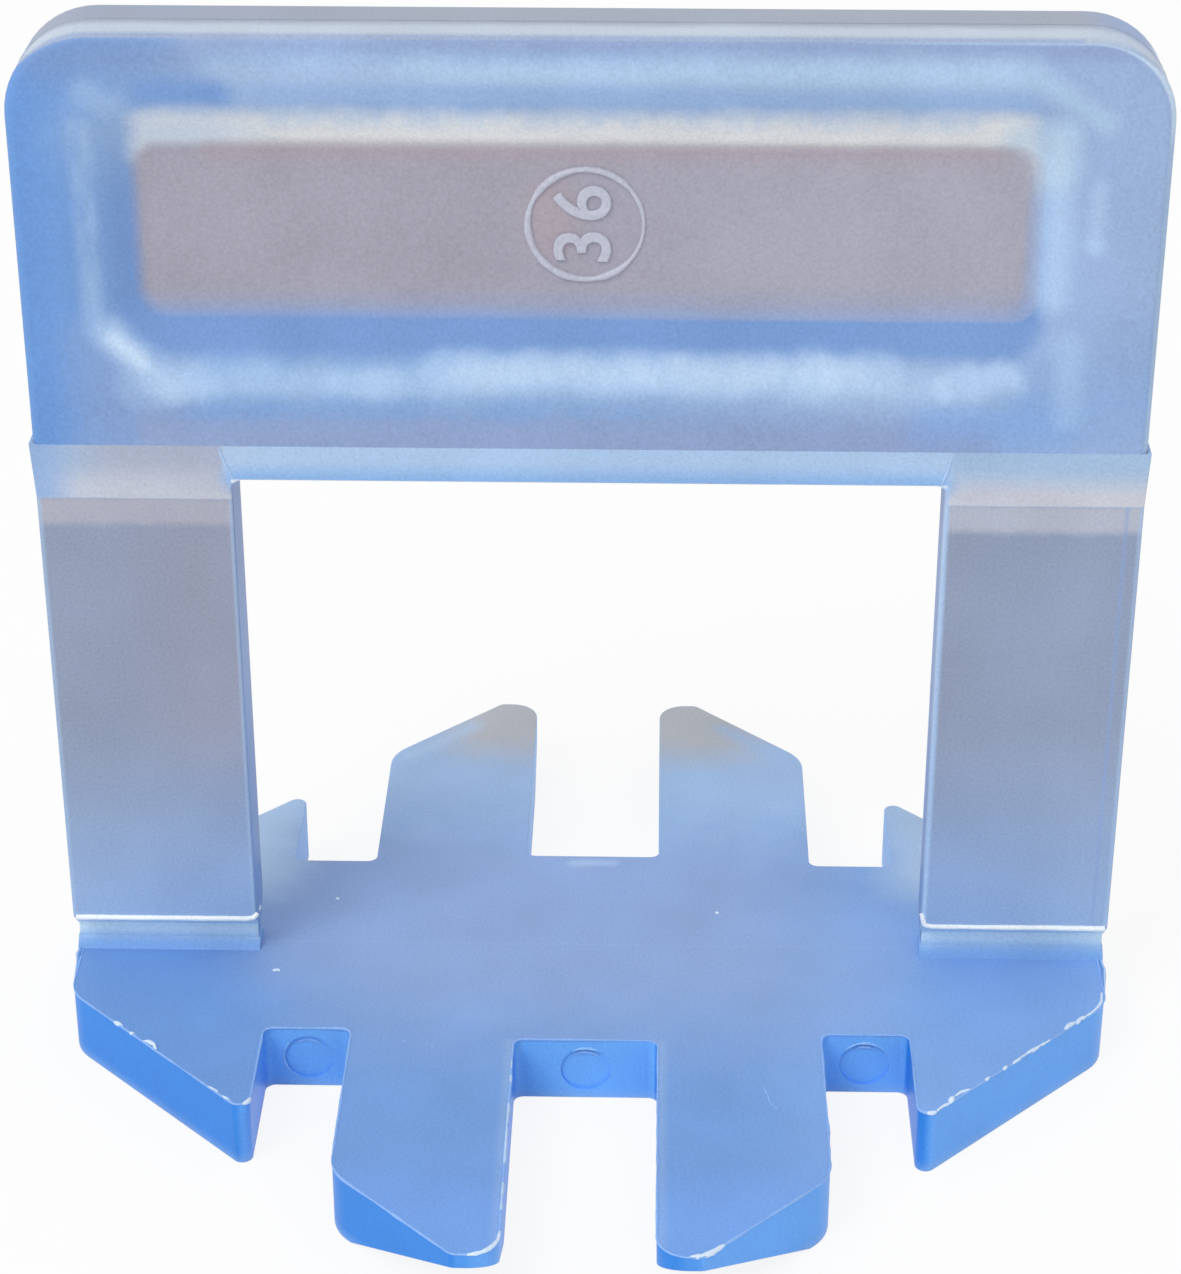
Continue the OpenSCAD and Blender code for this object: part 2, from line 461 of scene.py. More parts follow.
# painted light on the pocket's upper wall
UPPER_WALL_LIGHT = screen(226, 227, 227)
LILAC = screen(144, 163, 203)
MAUVE = screen(163, 160, 174)
ROSE = screen(174, 158, 166)
TOP_GREY = screen(156, 165, 182)
LEG_GREY = screen(148, 159, 183)
LEG_BLUE = screen(152, 181, 222)
# painted light that lifts the shade on the neck
NECK_BLUE = screen(212, 238, 253)
FOOT_BLUE = screen(124, 173, 231)
BAND_GREY = screen(176, 177, 192)
SLOPE_LIGHT = screen(206, 208, 218)
LINTEL_BLUE = screen(144, 188, 238)
TIP_GREY = screen(190, 194, 203)
BACK_BLUE = screen(166, 198, 240)
CLEAR_TIP = screen(118, 166, 240)
EDGE_LIGHT = screen(198, 212, 228)
EDGE_BLUE = screen(142, 184, 243)
# painted light: pale arcs on the ejector marks and lifted shade on the back walls
PAINTED_LIGHT_BLUE = screen(150, 200, 250)
# painted light on the walls of the ejector marks
DIMPLE_LIGHT_BLUE = screen(110, 176, 252)
MARK_GREY = screen(190, 192, 207)
# painted light where the pocket's walls meet at the upper right
PALE_GREEN = screen(190, 212, 230)
FLANK_BLUE = screen(122, 147, 194)
WHITE = screen(242, 249, 252)
print("palette ready")

# %% [markdown]
# ## The milky plastic
# A Principled shader carries the plastic, satin rather than glossy. Its colour is a chain of zones, laid over
# each other from large clouds down to fine streaks, painted light and painted highlights among them. One long
# chain for the whole clip would be slow, so the base, the legs and the head each have a coat of their own.

# %% Helpers that chain zones
X, Y, Z = range(3)
FAR = 60.0
ALL = (-FAR, FAR)
EVERYWHERE = 1.0
FACING = (0.5, 0.8)
WAVES_PER_MM = 0.9
STREAK_SHAPE = (1.5, 1.5, 0.6)
STREAK_EDGE = (0.3, 0.62)
GRAIN_SIZE = 0.1
UNEVENNESS = 0.12
SPECULAR = 0.28


class Coat:
    """Chain of painted zones in one material, from the lowest layer up, over a band of heights."""

    def __init__(self, name, start, band):
        self.band = band
        self.material, self.grain = new_plastic(name, roughness=0.42, grain_depth=0.08, tone=0.2)
        self.tree = self.material.node_tree
        self.layer = start
        self.face = EVERYWHERE
        self.count = 0
        source = self.tree.nodes.new("ShaderNodeTexCoord")
        self.place = vector_node(self.tree, "SCALE", {0: source.outputs["Object"], "Scale": 1.0 / MM})
        self.along = self.split(self.place)
        self.normal = self.split(source.outputs["Normal"])
        waves = noise_node(self.tree, self.place, WAVES_PER_MM, detail=2.0)
        self.swing = self.math("SUBTRACT", waves, NOISE_MEAN)
        stretched = vector_node(self.tree, "MULTIPLY", {0: self.place, 1: STREAK_SHAPE})
        self.streaks = self.ramp(noise_node(self.tree, stretched, 1.0, detail=2.0), *STREAK_EDGE)

    def split(self, vector):
        node = self.tree.nodes.new("ShaderNodeSeparateXYZ")
        return set_inputs(self.tree, node, {0: vector}).outputs

    def math(self, operation, a, b=0.0, c=0.0):
        return math_node(self.tree, operation, a, b, c)

    def both(self, first, second):
        """Mask where both masks hold."""
        return self.math("MULTIPLY", first, second)

    def ramp(self, value, low, high):
        return ramp_node(self.tree, value, low, high)

    def facing(self, axis):
        """Mask of the faces that look along an axis, from either side."""
        return self.ramp(self.math("ABSOLUTE", self.normal[axis]), *FACING)

    def upward(self):
        """Mask of the faces that look up."""
        return self.ramp(self.normal[Z], *FACING)

    def streaked(self, share):
        """The coat's own mask, broken up by upright streaks over the given share of its strength."""
        return self.both(self.face, self.math("MULTIPLY_ADD", self.streaks, share, 1.0 - share))

    def turned(self, centre, degrees, about):
        """The clip's space turned about an axis through centre."""
        node = self.tree.nodes.new("ShaderNodeVectorRotate")
        node.rotation_type = about
        values = {"Vector": self.place, "Center": centre, "Angle": math.radians(degrees)}
        return set_inputs(self.tree, node, values).outputs[0]

    def zone(self, colour, feather, x=ALL, y=ALL, z=ALL, face=None, wobble=0.0, strength=1.0, turn=0.0,
             about="Y_AXIS", corner=0.0):
        """Paints a colour over a box given by its spans in millimetres; its edge fades over the feather.

        Where no face mask is given, the coat's own one holds.
        """
        spans = (x, y, z)
        reach = feather + wobble / 2 + (x[1] - x[0] if turn else 0.0)
        if z[0] - reach > self.band[1] or z[1] + reach < self.band[0]:
            return
        corner = max(corner, feather)
        centre = [(low + high) / 2 for low, high in spans]
        node = self.tree.nodes.new("ShaderNodeGroup")
        node.node_tree = ZONE
        set_inputs(self.tree, node, {
            "Below": self.layer, "Colour": colour, "Centre": centre,
            "Place": self.turned(centre, turn, about) if turn else self.place,
            "Core": [(high - low) / 2 - corner for low, high in spans],
            "Full": corner - feather, "Reach": corner + feather,
            "Swing": self.swing, "Wobble": wobble, "Strength": strength,
            "Face": self.face if face is None else face,
        })
        self.layer = node.outputs["Colour"]
        self.count += 1

    def done(self):
        """Hands the last layer to the plastic."""
        self.tree.links.new(self.layer, self.grain.inputs["Colour"])
        print(self.material.name, "has", self.count, "zones")
        return self.material


def new_plastic(name, roughness, grain_depth, tone):
    """Principled plastic with the moulded grain; returns the material and its grain node."""
    material = bpy.data.materials.new(name)
    material.use_nodes = True
    tree = material.node_tree
    shader = tree.nodes["Principled BSDF"]
    grain = tree.nodes.new("ShaderNodeGroup")
    grain.node_tree = GRAIN
    set_inputs(tree, grain, {
        "Grain Size": GRAIN_SIZE, "Grain Depth": grain_depth, "Roughness": roughness,
        "Unevenness": UNEVENNESS, "Tone": tone,
    })
    set_inputs(tree, shader, {
        "Base Color": grain.outputs["Colour"], "Normal": grain.outputs["Normal"],
        "Roughness": grain.outputs["Roughness"], "Specular IOR Level": SPECULAR,
    })
    return material, grain


# %% Base coat
LIT_SIDE = (-0.5, 0.6)


def paint_base():
    """Clear blue cut faces and a top that is greyest under the window and bluest at the front.
    Painted light brightens the walls that face right, the front notch walls and the shaded back walls, and
    lifts the shade beside the left leg; the back fingers carry painted highlights.
    """
    coat = Coat("milky_blue_base", BASE_BLUE, (0.0, BASE_T))
    coat.face = coat.upward()
    wall = coat.ramp(coat.math("ABSOLUTE", coat.normal[Z]), *reversed(FACING))
    lit_wall = coat.both(wall, coat.ramp(coat.normal[X], *LIT_SIDE))
    notch_wall = coat.both(wall, coat.facing(Y))
    side_wall = coat.both(wall, coat.facing(X))
    # clear blue of the thick plastic on the cut faces, with painted light: brighter where they face right and
    # on the front notch walls, as light through the plate
    coat.zone(CLEAR_BLUE, 0.3, face=wall)
    coat.zone(LIT_BLUE, 0.3, face=lit_wall)
    coat.zone(NOTCH_BLUE, 0.5, x=(-WING_IN, WING_IN), y=(-CENTRE_WALL - 0.4, -3.0), face=notch_wall)
    # painted light: the back side walls lie in shade and are painted bright to lift it
    coat.zone(PAINTED_LIGHT_BLUE, 0.5, x=(-WING_IN - 1.0, WING_IN + 1.0), y=(5.0, FAR), face=side_wall)
    coat.zone(SKY, 0.4, z=(-1.0, 0.1), face=wall, strength=0.6)
    coat.zone(BASE_LIT, 3.0, x=(7.0, FAR), y=(-FAR, 2.0), wobble=1.5)
    coat.zone(DUSK_BLUE, 4.5, x=(-9.5, 9.0), y=(-5.5, 9.0), wobble=2.5)
    # painted light: lifts the shade on the top beside the left leg
    coat.zone(DUSK_BLUE, 2.0, x=(-12.5, -6.5), y=(-2.5, 7.0), strength=0.7)
    coat.zone(CLEAR_TIP, 1.8, y=(-FAR, -13.5), strength=0.6, wobble=1.0)
    coat.zone(BACK_BLUE, 4.0, x=(-15.0, 15.0), y=(8.0, FAR), wobble=1.5)
    coat.zone(FROST_AND_HIGHLIGHT, 1.6, x=(-FAR, -11.0), y=(3.0, FAR), wobble=0.8, strength=0.9)
    coat.zone(SKY, 1.6, x=(11.0, FAR), y=(3.0, FAR), wobble=0.8)
    coat.zone(TIP_GREY, 1.7, x=(-5.8, 6.4), y=(13.3, FAR), wobble=1.2)
    # painted highlights along the slanted edges of the back fingers
    for side, colour, strength in ((-1, FROST_AND_HIGHLIGHT, 0.7), (1, BACK_BLUE, 0.8)):
        coat.zone(colour, 0.5, x=sorted((side * 4.1, side * 8.1)), y=(14.1, 14.6), strength=strength,
                  turn=side * 45, about="Z_AXIS")
    coat.zone(FROST_AND_HIGHLIGHT, 0.25, x=(-0.9, 0.9), y=(5.2, 5.6), strength=0.5, wobble=0.3)
    coat.zone(SKY, 0.06, x=(-WINDOW_HALF, WINDOW_HALF), y=(-0.1, 0.0), strength=0.12)
    for side in (-1, 1):
        inner = sorted((side * FINGER_IN, side * (FINGER_IN + 0.25)))
        coat.zone(SKY, 0.2, x=inner, y=(-FAR, -CENTRE_WALL), strength=0.3)
    return coat.done()


base_plastic = paint_base()


# %% Leg coat
def paint_legs():
    """Grey legs that turn blue towards the base, under a slope painted pale as if lit from above.
    The neck is painted lightest, which lifts the shade under the leg, and the legs' edges carry painted
    highlights.
    """
    coat = Coat("milky_blue_legs", LEG_BLUE, (BASE_T, HEAD_LOW))
    front = coat.facing(Y)
    flank = coat.facing(X)
    slope = coat.both(front, coat.ramp(coat.along[Z], SLOPE_LOW - NEAR, SLOPE_LOW + NEAR))
    left_side = {"x": (-WINDOW_HALF - 0.5, 0.0), "face": flank}
    right_side = {"x": (0.0, WINDOW_HALF + 0.5), "face": flank}
    coat.zone(WALL_BLUE, 0.3, strength=0.6, **left_side)
    coat.zone(LILAC, 0.4, y=(0.5, 2.0), strength=0.6, **left_side)
    coat.zone(FLANK_BLUE, 3.0, x=(-WINDOW_HALF - 4.0, 0.0), z=(16.5, FAR), face=flank, strength=0.8)
    coat.zone(SKY, 0.3, strength=0.7, **right_side)
    coat.zone(FLANK_BLUE, 0.3, y=(-0.3, 2.0), strength=0.85, **right_side)
    # painted highlight: a pale strip down the back edge of the right leg's inner side
    coat.zone(FROST_AND_HIGHLIGHT, 0.12, y=(0.75, 2.0), z=(0.0, 12.0), strength=0.7, **right_side)
    coat.zone(LEG_GREY, 0.3, x=(HEAD_HALF - 0.5, FAR), face=flank, strength=0.7)
    coat.zone(LEG_GREY, 0.1, z=(BASE_T, SLOPE_LOW), face=front)
    coat.zone(MAUVE, 2.0, x=(-14.5, -11.0), z=(10.0, 20.0), face=front, strength=0.4)
    coat.zone(LEG_BLUE, 4.5, z=(0.0, 8.0), face=front)
    coat.zone(LEG_BLUE, 2.0, x=(13.0, FAR), z=(BASE_T, 19.5), face=front, strength=0.12)
    # painted light: the neck is painted near white, which lifts the shade under the leg
    coat.zone(NECK_BLUE, 0.1, z=(BASE_T, LEG_LOW - 0.15), face=front)
    coat.zone(FOOT_BLUE, 0.35, z=(BASE_T - 0.4, BASE_T + 0.4))
    coat.zone(BASE_BLUE, 0.25, z=(-1.0, BASE_T + 0.15), strength=0.7)
    coat.zone(BAND_GREY, 0.2, z=(19.3, SLOPE_LOW), face=front, wobble=0.35)
    coat.zone(EDGE_LIGHT, 0.2, x=(11.0, FAR), z=(19.3, SLOPE_LOW), face=front, wobble=0.35, strength=0.3)
    # painted light: the slope under the head faces up and is painted pale, as lit, most on the right
    coat.zone(SKY, 0.1, face=slope)
    coat.zone(BAND_GREY, 1.5, x=(-16.5, -11.0), face=slope, strength=0.75)
    for span, strength in (((-FAR, 0.0), 0.75), ((0.0, FAR), 1.0)):
        coat.zone(SLOPE_LIGHT, 0.7, x=span, z=(SLOPE_LOW - 0.5, 21.2), face=slope, strength=strength)
    coat.zone(LEG_BLUE, 0.8, x=(-FAR, -17.2), face=slope)
    lintel = (-WINDOW_HALF - 0.2, WINDOW_HALF + 0.1)
    coat.zone(FROST_AND_HIGHLIGHT, 0.12, x=lintel, z=(WINDOW_TOP, HEAD_LOW + 1.0), face=front, strength=0.75)
    coat.zone(LINTEL_BLUE, 0.5, x=lintel, z=(WINDOW_TOP - 0.4, 21.45), face=slope)
    opening = (-WINDOW_HALF, WINDOW_HALF)
    coat.zone(WHITE, 0.05, x=opening, z=(WINDOW_TOP - 0.1, WINDOW_TOP + 0.05))
    # painted highlights along the legs' upright edges
    for edge in (-HALF_W, -WINDOW_HALF, WINDOW_HALF, HALF_W):
        coat.zone(SKY, 0.06, x=(edge - 0.14, edge + 0.14), z=(LEG_LOW, SLOPE_LOW), face=front, strength=0.6)
    # painted highlight down the right leg's inner front edge
    lit_edge = (WINDOW_HALF - 0.2, WINDOW_HALF + 0.07)
    coat.zone(FROST_AND_HIGHLIGHT, 0.08, x=lit_edge, y=(-2.0, -0.7), z=(LEG_LOW, WINDOW_TOP), strength=0.8)
    coat.zone(DUSK_BLUE, 0.06, x=(17.5, 17.62), z=(LEG_LOW, SLOPE_LOW), face=front, strength=0.5)
    return coat.done()


leg_plastic = paint_legs()

# %% [markdown]
# ## The head's coat
# The head has the most clouds, and every zone costs render time on each ray that meets it. So the head is
# painted in three bands, one above the other, by the same function. A zone that doesn't reach a band is
# left out of that band's chain, and the bands meet without a seam.


# %% The head's rim
def paint_rim(coat):
    """Large clouds of the rim, from deep blue on the left to pale on the right."""
    coat.zone(RIM_LIGHT, 9.0, x=(4.0, FAR))
    coat.zone(HEAD_BLUE, 3.0, x=(11.0, FAR), z=(HEAD_LOW, 26.0), strength=0.6)
    coat.zone(DEEP_BLUE, 2.0, x=(-FAR, -16.0), face=EVERYWHERE)
    coat.zone(FLANK_BLUE, 0.9, x=(-17.5, -11.5), z=(34.7, 35.9), wobble=0.8, strength=0.7)
    coat.zone(RIM_LIGHT, 1.0, x=(12.8, FAR), z=(33.0, FAR))
    coat.zone(LILAC, 0.8, x=(-16.6, -12.5), z=(21.5, 26.6), wobble=0.8, strength=0.4)
    coat.zone(LILAC, 0.5, x=(-14.5, 13.0), z=(22.0, 23.4), wobble=0.6)
    coat.zone(BASE_LIT, 0.7, x=(10.4, 15.6), z=(22.6, 24.2), wobble=0.8, strength=0.5)
    coat.zone(LILAC, 0.4, x=(-12.4, FAR), z=(35.5, FAR), wobble=0.3)


def paint_upper_rim(coat):
    """Painted highlight in a pale band over the pocket that bends round its upper corners, with the darker
    line below it that bends down at both ends.
    """
    coat.zone(SKY, 0.55, x=(-11.8, 13.8), z=(34.3, 35.5), wobble=0.5)
    coat.zone(FROST_AND_HIGHLIGHT, 0.35, x=(-9.0, 13.0), z=(34.8, 35.3), face=coat.streaked(0.6), strength=0.4)
    coat.zone(RIM_LIGHT, 1.5, x=(-13.0, -5.5), z=(33.0, 36.5), strength=0.55)
    coat.zone(SKY, 0.35, x=(13.2, 16.4), z=(33.8, 34.5), turn=-34)
    coat.zone(LEG_BLUE, 0.35, x=(-13.6, 13.8), z=(33.7, 34.4), wobble=0.4)
    coat.zone(INK_BLUE, 0.5, x=(-14.0, -11.0), z=(33.7, 34.6), wobble=0.4, strength=0.8)
    coat.zone(SKY, 0.4, x=(-16.0, -14.2), z=(33.7, 34.5), turn=-30, wobble=0.8, strength=0.35)


# %% The pocket
def paint_pocket_walls(coat):
    """Blue walls with painted highlights in pale stripes down both sides."""
    coat.zone(WALL_BLUE, 0.35, x=(-15.0, 14.4), z=(25.4, 33.4), corner=1.4)
    coat.zone(FROST_AND_HIGHLIGHT, 0.3, x=(-16.0, -15.4), z=(26.0, 33.4), face=coat.streaked(0.6), strength=0.45)
    coat.zone(FROST_AND_HIGHLIGHT, 0.4, x=(14.8, 15.7), z=(23.2, 26.4), wobble=0.6, strength=0.3)
    coat.zone(FROST_AND_HIGHLIGHT, 0.45, x=(14.0, 15.05), z=(27.0, 33.4), wobble=0.3, strength=0.6)
    coat.zone(FROST_AND_HIGHLIGHT, 0.3, x=(15.6, 16.0), z=(29.2, 31.6), wobble=0.6, strength=0.5)


def paint_lit_frost(coat):
    """Painted light on the pocket's lower wall, which faces up, blotchy where the plastic is frosted, with a
    bright painted highlight in a hook at its left end.
    """
    rough = coat.streaked(0.5)
    milder = coat.streaked(0.25)
    coat.zone(SKY, 0.5, x=(-14.0, 13.6), z=(23.9, 25.3), wobble=0.7, strength=0.45, corner=0.6)
    coat.zone(FROST_AND_HIGHLIGHT, 0.4, x=(-13.0, 11.5), z=(24.2, 25.0), face=rough, wobble=0.5, strength=0.35)
    coat.zone(FROST_AND_HIGHLIGHT, 0.3, x=(-8.4, -5.8), z=(24.2, 25.0), face=milder, wobble=0.5, strength=0.4, corner=0.5)
    coat.zone(FROST_AND_HIGHLIGHT, 0.3, x=(-5.4, 10.2), z=(24.4, 25.65), wobble=0.5, strength=0.45, corner=0.9)
    coat.zone(SNOW, 0.35, x=(-4.4, 9.0), z=(24.7, 25.4), face=rough, wobble=0.8, strength=0.25)
    coat.zone(FROST_AND_HIGHLIGHT, 0.35, x=(10.9, 14.0), z=(24.3, 25.2), face=milder, turn=8, wobble=0.9, strength=0.6,
              corner=0.6)
    coat.zone(FROST_AND_HIGHLIGHT, 0.5, x=(-15.0, -11.9), z=(23.9, 25.1), wobble=0.6, strength=0.35, corner=0.55)
    coat.zone(FROST_AND_HIGHLIGHT, 0.45, x=(-15.9, -12.6), z=(24.8, 25.7), turn=-42, wobble=0.5, strength=0.7)
    coat.zone(SNOW, 0.3, x=(-15.5, -13.9), z=(25.4, 25.8), turn=-42, strength=0.6)


def paint_floor(coat):
    """Painted light on the upper wall, near white, and the thin floor that shows what is behind it as a warm
    grey.
    """
    depth = coat.math("ABSOLUTE", coat.along[Y])
    deep = coat.both(coat.face, coat.ramp(depth, FLOOR_FACE + 0.12, FLOOR_FACE + 0.04))
    # painted light: the upper wall near white, with pale streaks and a pale left corner
    coat.zone(UPPER_WALL_LIGHT, 0.4, x=(-14.2, 13.9), z=(31.6, 33.55), wobble=0.4, corner=0.5)
    coat.zone(SKY, 0.35, x=(-10.0, 12.0), z=(33.0, 33.7), face=coat.streaked(0.7), strength=0.5)
    # painted light where the right wall meets the upper one
    coat.zone(PALE_GREEN, 0.5, x=(12.8, 15.1), z=(31.0, 33.4), wobble=0.3, strength=0.65, corner=0.9)
    coat.zone(SKY, 2.0, x=(-16.0, -10.5), z=(31.9, 33.7), strength=0.6, corner=0.3)
    seen = (-FLOOR_HALF - 0.2, FLOOR_HALF - 0.2)
    coat.zone(MAUVE, 0.3, x=seen, z=(FLOOR_LOW, FLOOR_HIGH + 0.15), corner=0.8)
    coat.zone(BAND_GREY, 6.0, x=(2.0, FAR), face=deep, strength=0.4)
    coat.zone(LILAC, 0.6, z=(26.0, 27.3), face=deep, strength=0.5)
    coat.zone(ROSE, 0.4, x=(-12.0, 13.0), z=(31.8, 32.4), strength=0.5, wobble=0.4)
    coat.zone(ROSE, 0.7, x=(-2.0, -0.4), z=(28.8, 31.2), face=deep, strength=0.6)


# %% The head's upper face and all three bands
ROLLED = (0.95, 0.8)
UPPER_FADE = 0.5


def paint_top(coat):
    """Painted highlights on the rounded edges on the right, and the grey upper face, with a blue right end and
    a painted lit strip along its front.
    """
    rolled = coat.ramp(coat.math("ABSOLUTE", coat.normal[Y]), *ROLLED)
    coat.zone(SKY, 1.5, x=(9.0, FAR), face=rolled, strength=0.9)
    coat.zone(SNOW, 0.6, x=(14.8, FAR), z=(33.0, 35.8), face=rolled, strength=0.6)
    upper = coat.both(coat.upward(), coat.ramp(coat.along[Z], TOP - HEAD_R - UPPER_FADE, TOP - HEAD_R))
    coat.zone(TOP_GREY, 0.1, z=(32.0, FAR), face=upper)
    coat.zone(LEG_GREY, 5.0, x=(-FAR, -9.0), z=(32.0, FAR), face=upper, strength=0.7)
    coat.zone(DUSK_BLUE, 0.9, x=(15.8, FAR), z=(32.0, FAR), face=upper, strength=0.8)
    coat.zone(EDGE_LIGHT, 0.4, y=(-1.5, -0.35), z=(32.0, FAR), face=upper, wobble=0.3, strength=0.8)
    coat.zone(LILAC, 0.12, x=(-FAR, 15.0), y=(-2.0, -1.35), z=(32.0, FAR), face=upper, strength=0.7)


def paint_head(name, band):
    """One band of the head."""
    coat = Coat(name, HEAD_BLUE, band)
    coat.face = coat.facing(Y)
    for paint in (paint_rim, paint_upper_rim, paint_pocket_walls, paint_lit_frost, paint_floor, paint_top):
        paint(coat)
    return coat.done()


head_spans = zip([HEAD_LOW, *HEAD_BANDS], [*HEAD_BANDS, TOP])
head_plastics = [paint_head(f"milky_blue_head_{i + 1}", span) for i, span in enumerate(head_spans)]

# %% The coats on the moulding
HAIR = 0.001
coat_steps = [BASE_T + HAIR, HEAD_LOW, *HEAD_BANDS]
moulding.data.materials.clear()
for material in (base_plastic, leg_plastic, *head_plastics):
    moulding.data.materials.append(material)
for polygon in moulding.data.polygons:
    height = polygon.center.z / MM
    polygon.material_index = sum(height > step for step in coat_steps)
print("coats on the moulding:", len(moulding.data.materials))

# %% [markdown]
# ## Beads, burrs and breaks
# A mould leaves its own handwriting: white bits of flash along the front edges of the base, blue flash on its
# sides, a whitened crease where each leg is meant to snap, a fine parting line, and a ring on the pocket's
# floor. Painted highlights are made the same way: a hair-thin pale line along the base's front edges, the
# shine on each crease, and pale arcs round the ejector marks. All of them are beads along a path, so one
# Geometry Nodes tree makes them all. It resamples the path, and lets the bead swell and wander by noise and
# taper to its ends. Each bead is then kept as a plain mesh.

# %% Geometry Nodes tree for a bead
BEAD_INPUTS = [
    ("Radius", "Float", 0.05), ("Step", "Float", 0.1), ("Swell", "Float", 0.0), ("Swell Size", "Float", 0.6),
    ("Wander", "Float", 0.0), ("Taper", "Float", 0.0), ("Seed", "Int", 1), ("Finish", "Material", None),
]
THINNEST = 0.12
BEAD_SIDES = 8


class BeadTree:
    """Bead along curves; all its lengths are in millimetres."""

    def __init__(self):
        self.group = bpy.data.node_groups.new("bead_along_path", "GeometryNodeTree")
        sockets = self.group.interface
        sockets.new_socket("Geometry", in_out="INPUT", socket_type="NodeSocketGeometry")
        for label, kind, value in BEAD_INPUTS:
            socket = sockets.new_socket(label, in_out="INPUT", socket_type="NodeSocket" + kind)
            if value is not None:
                socket.default_value = value
        sockets.new_socket("Geometry", in_out="OUTPUT", socket_type="NodeSocketGeometry")
        self.come = self.group.nodes.new("NodeGroupInput").outputs
        self.go = self.group.nodes.new("NodeGroupOutput").inputs
        self.keys = {item.name: item.identifier for item in sockets.items_tree if item.in_out == "INPUT"}
        smooth = self.add("GeometryNodeSetShadeSmooth", {"Geometry": self.tube(*self.path())})
        real = self.add("GeometryNodeRealizeInstances", {"Geometry": smooth.outputs[0]})
        finish = {"Geometry": real.outputs[0], "Material": self.come["Finish"]}
        self.group.links.new(self.add("GeometryNodeSetMaterial", finish).outputs[0], self.go[0])

    def add(self, kind, values, **settings):
        """New node with its inputs and its settings."""
        node = self.group.nodes.new(kind)
        for label, value in settings.items():
            setattr(node, label, value)
        return set_inputs(self.group, node, values)

    def math(self, operation, a, b=0.0):
        return math_node(self.group, operation, a, b)

    def length(self, label):
        """One of the inputs, in metres."""
        return self.math("MULTIPLY", self.come[label], MM)

    def path(self):
        """Resampled path that wanders by noise."""
        even = self.add(
            "GeometryNodeResampleCurve", {"Curve": self.come["Geometry"], "Length": self.length("Step")},
            mode="LENGTH")
        fineness = self.math("DIVIDE", 1.0 / MM, self.come["Swell Size"])
        noise = self.add(
            "ShaderNodeTexNoise", {"W": self.come["Seed"], "Scale": fineness}, noise_dimensions="4D")
        swing = vector_node(self.group, "SUBTRACT", {0: noise.outputs["Color"], 1: (NOISE_MEAN,) * 3})
        offset = vector_node(self.group, "SCALE", {0: swing, "Scale": self.length("Wander")})
        moved = self.add("GeometryNodeSetPosition", {"Geometry": even.outputs[0], "Offset": offset})
        return moved.outputs[0], noise.outputs["Fac"]

    def tube(self, path, noise):
        """Round bead whose radius swells with the noise and falls off to both ends."""
        swing = self.math("MULTIPLY", self.math("SUBTRACT", noise, NOISE_MEAN), self.come["Swell"])
        swell = self.math("MAXIMUM", self.math("ADD", swing, 1.0), THINNEST)
        along = self.add("GeometryNodeSplineParameter", {}).outputs["Factor"]
        from_middle = self.math("SUBTRACT", self.math("MULTIPLY", along, 2.0), 1.0)
        fall = self.math("MULTIPLY", self.math("MULTIPLY", from_middle, from_middle), self.come["Taper"])
        swell = self.math("MULTIPLY", swell, self.math("SUBTRACT", 1.0, fall))
        ring = self.add("GeometryNodeCurvePrimitiveCircle", {"Resolution": BEAD_SIDES, "Radius": 1.0})
        return self.add("GeometryNodeCurveToMesh", {
            "Curve": path, "Profile Curve": ring.outputs[0], "Fill Caps": True,
            "Scale": self.math("MULTIPLY", swell, self.length("Radius")),
        }).outputs[0]


BEAD = BeadTree()
print("bead tree:", len(BEAD.group.nodes), "nodes")


# %% Beads from paths
def new_piece(name, mesh):
    """Rigid piece of the clip's plastic; its place is in its mesh."""
    piece = placed(name, mesh)
    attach(piece, BODY)
    print(name, "has", len(mesh.polygons), "faces")


def bead(name, runs, finish, closed=False, **sizes):
    """Piece made by the bead tree along runs of points in millimetres."""
    curve = bpy.data.curves.new(name, "CURVE")
    curve.dimensions = "3D"
    for run in runs:
        spline = curve.splines.new("POLY")
        spline.points.add(len(run) - 1)
        spline.use_cyclic_u = closed
        for point, place in zip(spline.points, run):
            point.co = (*(Vector(place) * MM), 1.0)
    source = placed(name + "_path", curve)
    modifier = source.modifiers.new("bead", "NODES")
    modifier.node_group = BEAD.group
    modifier[BEAD.keys["Finish"]] = finish
    for label, value in sizes.items():
        modifier[BEAD.keys[label.replace("_", " ").title()]] = value
    mesh = evaluated_mesh(source)
    bpy.data.objects.remove(source)
    new_piece(name, mesh)


def plain_plastic(name, colour):
    """Plastic of one hue with the moulded grain's tone, for the small pieces."""
    material, grain = new_plastic(name, roughness=0.45, grain_depth=0.1, tone=0.25)
    grain.inputs["Colour"].default_value = colour
    return material


burr_white = plain_plastic("whitened_burr", SNOW)
crease_white = plain_plastic("whitened_crease_and_highlight", WHITE)
line_blue = plain_plastic("line_blue", FROST_AND_HIGHLIGHT)
edge_blue = plain_plastic("edge_blue", EDGE_BLUE)

# %% [markdown]
# ## Burrs
# The base's front edges carry a hair-thin pale line all the way round, the painted highlight of the edge,
# and white bits of flash that the trimming left. The line follows the base's own outline, with its round
# corners. The bits are placed by their distance along the slanted edges, as they lie on the real one.

